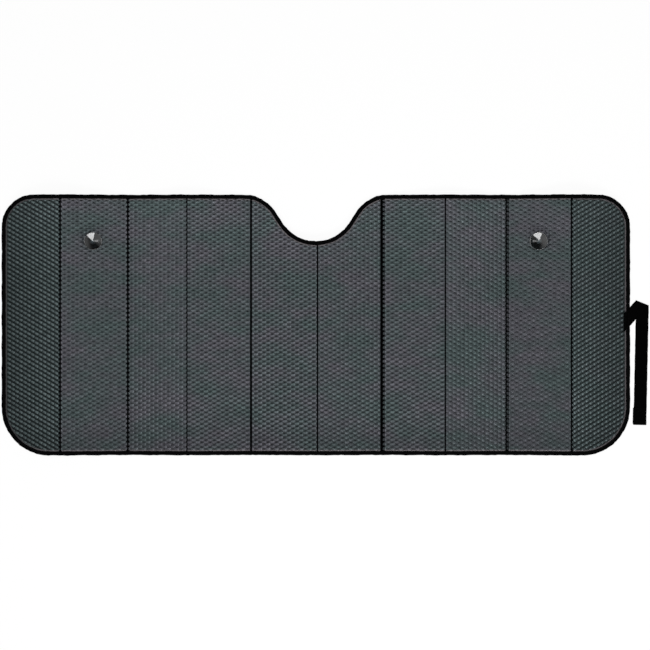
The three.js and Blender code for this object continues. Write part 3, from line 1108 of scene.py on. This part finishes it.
cup = {
    # half section about the cup's axis in millimetres, from the head behind the film to the dish
    "section": (
        (0, -5.9), (2.6, -5.9), (4.6, -5.6), (6.2, -4.9), (6.9, -4.0), (7.0, -3.0), (6.8, -2.5), (6.2, -2.3),
        (4.4, -2.3), (4.0, -2.0), (4.0, 1.9), (4.3, 2.3), (6.0, 2.3), (6.4, 2.6), (6.5, 3.2), (6.5, 6.2),
        (6.9, 6.9), (9.5, 8.1), (13.0, 9.7), (17.0, 11.7), (20.2, 13.35), (20.85, 13.8), (21.0, 14.3),
        (20.8, 14.7), (20.3, 14.85), (19.8, 14.75), (19.2, 14.45), (16.0, 12.75), (12.0, 10.7), (8.0, 8.75),
        (4.0, 6.95), (1.4, 5.85), (0.5, 5.45), (0, 5.3),
    ),
    "turns": 64,
    "tilt": math.atan2(0.15697007, 0.98760336),  # the slope of the panels that hold the cups
    "height": -0.002,
}


def makeCup(name, side, node, body):
    mesh = bpy.data.meshes.new(name)
    section = [(r / 1000, 0, z / 1000) for r, z in cup["section"]]
    mesh.from_pydata(section, [(i, i + 1) for i in range(len(section) - 1)], [])
    piece = placeObject(name, mesh)
    editPick(piece, lambda co: True)
    bpy.ops.mesh.spin(steps=cup["turns"], angle=2 * math.pi, center=(0, 0, 0), axis=(0, 0, 1))
    bpy.ops.mesh.select_all(action="SELECT")
    bpy.ops.mesh.remove_doubles(threshold=1e-5)
    bpy.ops.mesh.normals_make_consistent(inside=False)
    backToObject()
    places = points(piece)
    turn = -side * cup["tilt"]
    x, z = places[:, 0].copy(), places[:, 2].copy()
    places[:, 0] = x * math.cos(turn) + z * math.sin(turn) + side * bubbles["cups"][0]
    places[:, 1] += bubbles["cups"][1]
    places[:, 2] = -x * math.sin(turn) + z * math.cos(turn) + cup["height"]
    movePoints(piece, places)
    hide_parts(node)
    dress(piece, cupFinish, body)
    return piece


makeCup("cupLeft", -1, "suction_cup_left", "left_cup")
makeCup("cupRight", 1, "suction_cup_right", "right_cup")
print("cups turned")

studio = {
    "overhead": (4.4, 0.9, 2.0, 1.96),  # width, depth, height, brightness
    "overheadUp": 0.54,  # its middle, up the sheet
    "key": (1.9, 0.45, 6.5),
    "keyPlace": (0.42, -0.85, 1.2),
    "ceiling": (0.25, 0.55),  # the walls fade into the ceiling at these heights
    "surround": (0.8, 0.05),  # the ceiling's brightness on the near left and on the far right
    "toward": (0.6, 0.8),  # the way from the one to the other
    "towardRange": (-0.55, 0.3),
    "keyAim": (0.3, 0.45, 0),
    "floorSize": 60,
    "floorColour": (0.94, 0.94, 0.94, 1),
    "floorGlow": 0.92,  # the share of the floor that glows for the camera
    "lens": 142.06,
    "camera": (0.0214, 0.3048, 6.0),
}


def seenRays(tree):
    # 1 for rays that carry the floor into the picture, also by a mirror or through the cups
    path = addNode(tree, "ShaderNodeLightPath")
    seen = calc(tree, "MAXIMUM", path.outputs["Is Camera Ray"], path.outputs["Is Glossy Ray"])
    return calc(tree, "MAXIMUM", seen, path.outputs["Is Transmission Ray"])


def makeFloor():
    bpy.ops.mesh.primitive_plane_add(size=studio["floorSize"], location=(0, 0, 0))
    floor = newest("studioFloor")
    places = points(floor)
    places[:, 2] = sheet["floor"]
    movePoints(floor, places)
    material, tree, shader = newMaterial("paleFloor")
    shader.inputs["Base Color"].default_value = studio["floorColour"]
    shader.inputs["Roughness"].default_value = 0.9
    shader.inputs["Specular IOR Level"].default_value = 0.0
    glow = addNode(tree, "ShaderNodeEmission", {"Color": (1, 1, 1, 1), "Strength": 1.0})
    share = calc(tree, "MULTIPLY", seenRays(tree), studio["floorGlow"])
    both = addNode(tree, "ShaderNodeMixShader", {0: share, 1: shader.outputs[0], 2: glow.outputs[0]})
    tree.links.new(both.outputs[0], tree.nodes["Material Output"].inputs["Surface"])
    floor.data.materials.append(material)


def makeWorld():
    # pale walls low down and a dim ceiling, darker towards the far right
    world = bpy.data.worlds.new("softStudio")
    bpy.context.scene.world = world
    world.use_nodes = True
    tree = world.node_tree
    soft = tree.nodes["Background"]
    around = addNode(tree, "ShaderNodeTexCoord").outputs["Generated"]
    way = addNode(tree, "ShaderNodeSeparateXYZ", {0: around})
    right, away = studio["toward"]
    toward = calc(tree, "MULTIPLY_ADD", way.outputs[0], right, calc(tree, "MULTIPLY", way.outputs[1], away))
    dim = addRange(tree, toward, studio["towardRange"], studio["surround"]).outputs["Result"]
    level = addRange(tree, way.outputs[2], studio["ceiling"], (1.0, dim))
    level.interpolation_type = "SMOOTHSTEP"
    soft.inputs["Color"].default_value = (1, 1, 1, 1)
    tree.links.new(level.outputs["Result"], soft.inputs["Strength"])


def addSoftbox(name, place, aim, width, depth, brightness):
    light = bpy.data.lights.new(name, "AREA")
    light.shape = "RECTANGLE"
    light.size, light.size_y = width, depth
    light.energy = brightness * math.pi * width * depth
    lamp = placeObject(name, light)
    lamp.location = place
    way = np.array(place) - np.array(aim)
    lamp.rotation_euler = (math.atan2(math.hypot(way[0], way[1]), way[2]), 0, math.atan2(way[0], -way[1]))
    lamp.visible_camera = False


makeFloor()
makeWorld()
width, depth, high, brightness = studio["overhead"]
up = studio["overheadUp"]
addSoftbox("overheadBox", (0, up, high), (0, up, 0), width, depth, brightness)
width, depth, brightness = studio["key"]
addSoftbox("keyBox", studio["keyPlace"], studio["keyAim"], width, depth, brightness)

camera = bpy.data.cameras.new("camera")
camera.lens, camera.sensor_width = studio["lens"], 36
camera.clip_end = 100
cameraObject = placeObject("camera", camera)
cameraObject.location = studio["camera"]
bpy.context.scene.camera = cameraObject
bpy.context.scene.view_settings.view_transform = "Standard"
print("studio set")
